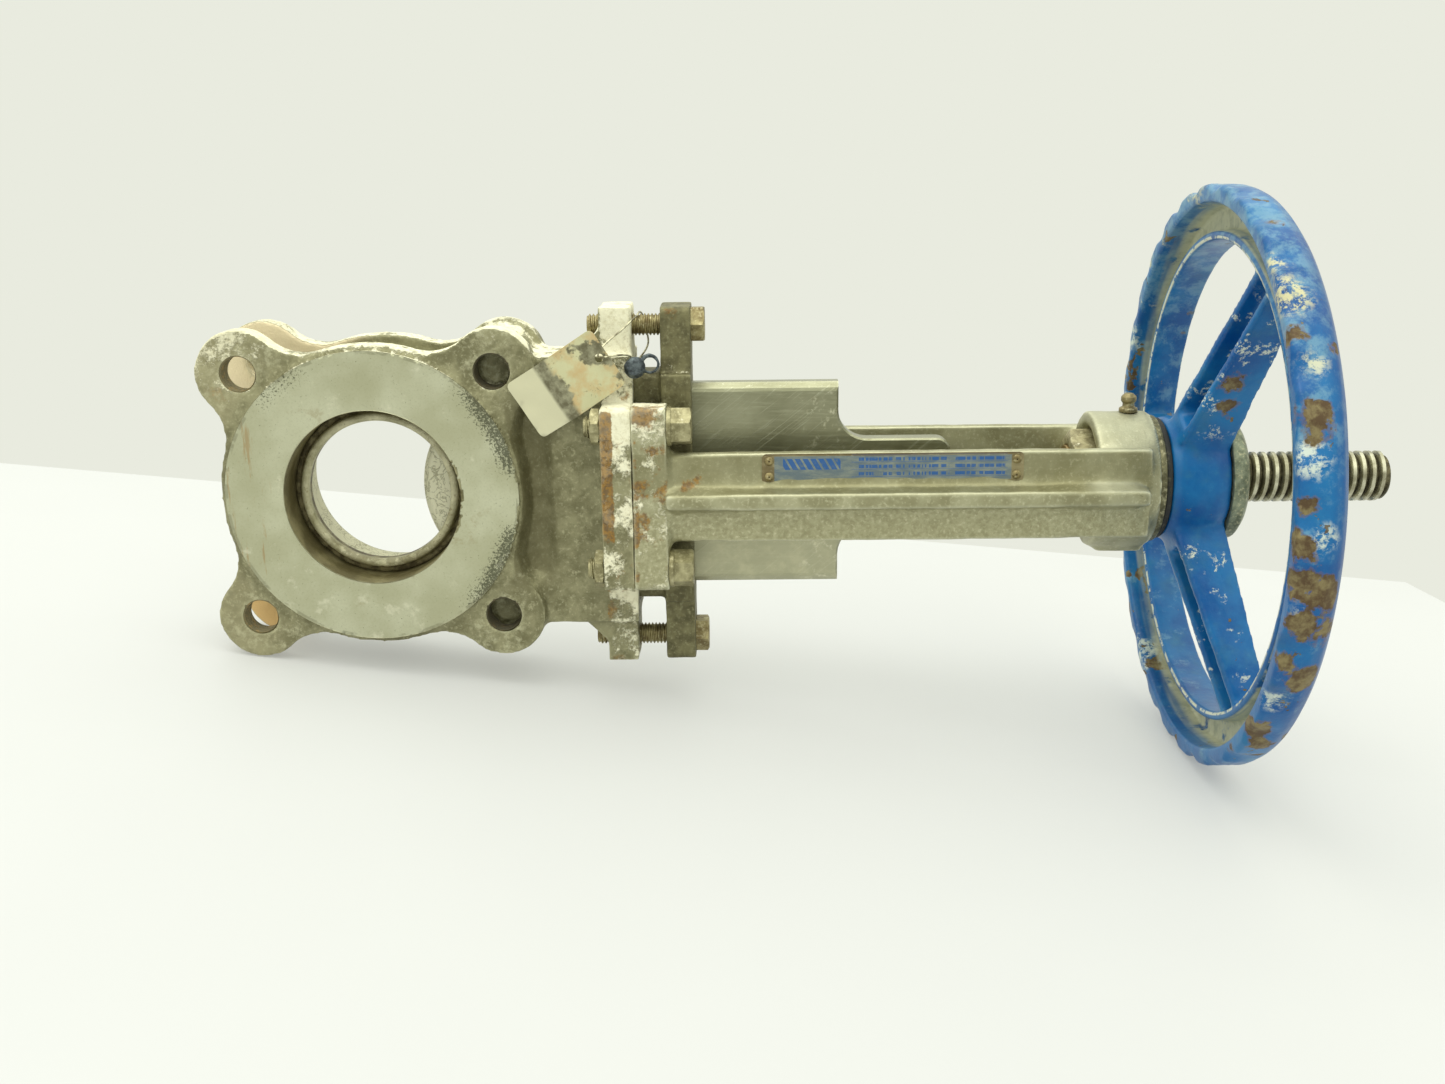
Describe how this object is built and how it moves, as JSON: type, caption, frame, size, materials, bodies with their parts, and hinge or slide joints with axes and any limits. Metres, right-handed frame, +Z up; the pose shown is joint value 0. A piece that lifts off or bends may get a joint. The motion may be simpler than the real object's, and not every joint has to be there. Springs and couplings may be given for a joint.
{
  "type": "knife gate valve",
  "caption": "Lugged knife gate valve with a bolted yoke, rising threaded stem and spoked handwheel, lying on its side.",
  "frame": {"origin": "centre of the bore, half way between the two pipe flange faces and on the gate's mid-plane", "axes": "+X along the stem towards the handwheel, +Y along the bore away from the side that shows the seat, +Z up with the valve lying on its side"},
  "size_m": [0.516, 0.254, 0.254],
  "materials": {
    "cast_body": "rough as-cast, with machined faces and pale mineral deposits",
    "cast_yoke": "satin as-cast",
    "gate_steel": "brushed, scratched",
    "stem_steel": "turned, bright",
    "plated_steel": "zinc plated, weathered",
    "bronze": "turned bronze",
    "seat_white": "dull, stained",
    "braid": "braided packing",
    "blue_paint": "blue enamel, chipped and chalky",
    "black_rubber": "matt",
    "plate_metal": "satin",
    "lead_grey": "dull lead"
  },
  "bodies": {
    "base": {"valve_body": "cast_body", "seat_ring": "seat_white", "packing_ring_1": "braid", "packing_ring_2": "braid", "packing_ring_3": "braid", "packing_ring_4": "braid", "packing_gland": "cast_body", "gland_bolts": "plated_steel", "yoke": "cast_yoke", "yoke_bolts": "plated_steel", "yoke_lock_washers": "plated_steel", "yoke_nuts": "plated_steel", "thrust_washer_inner": "bronze", "thrust_washer_outer": "plated_steel", "dust_seal": "black_rubber", "grease_nipple": "bronze", "nameplate": "plate_metal", "nameplate_pins": "plate_metal", "tag": "plate_metal", "seal_wire": "stem_steel", "lead_seal": "lead_grey"},
    "gate_assembly": {"gate": "gate_steel", "stem": "stem_steel", "fork_bolts": "plated_steel", "fork_nuts": "plated_steel"},
    "drive": {"stem_nut": "bronze", "stem_locknut": "plated_steel", "handwheel": "blue_paint", "handwheel_key": "stem_steel", "handwheel_nut": "plated_steel"}
  },
  "joints": [
    {"name": "handwheel_turn", "type": "hinge", "parent": "base", "child": "drive", "pos_m": [0, 0, 0], "axis": [1, 0, 0], "range_deg": [-5102, 1785]},
    {"name": "gate_slide", "type": "slide", "parent": "base", "child": "gate_assembly", "axis": [1, 0, 0], "range_m": [-0.06, 0.021]}
  ],
  "couplings": [
    {"joint": "gate_slide", "follows": "handwheel_turn", "m_per_rad": 0.00067376}
  ]
}
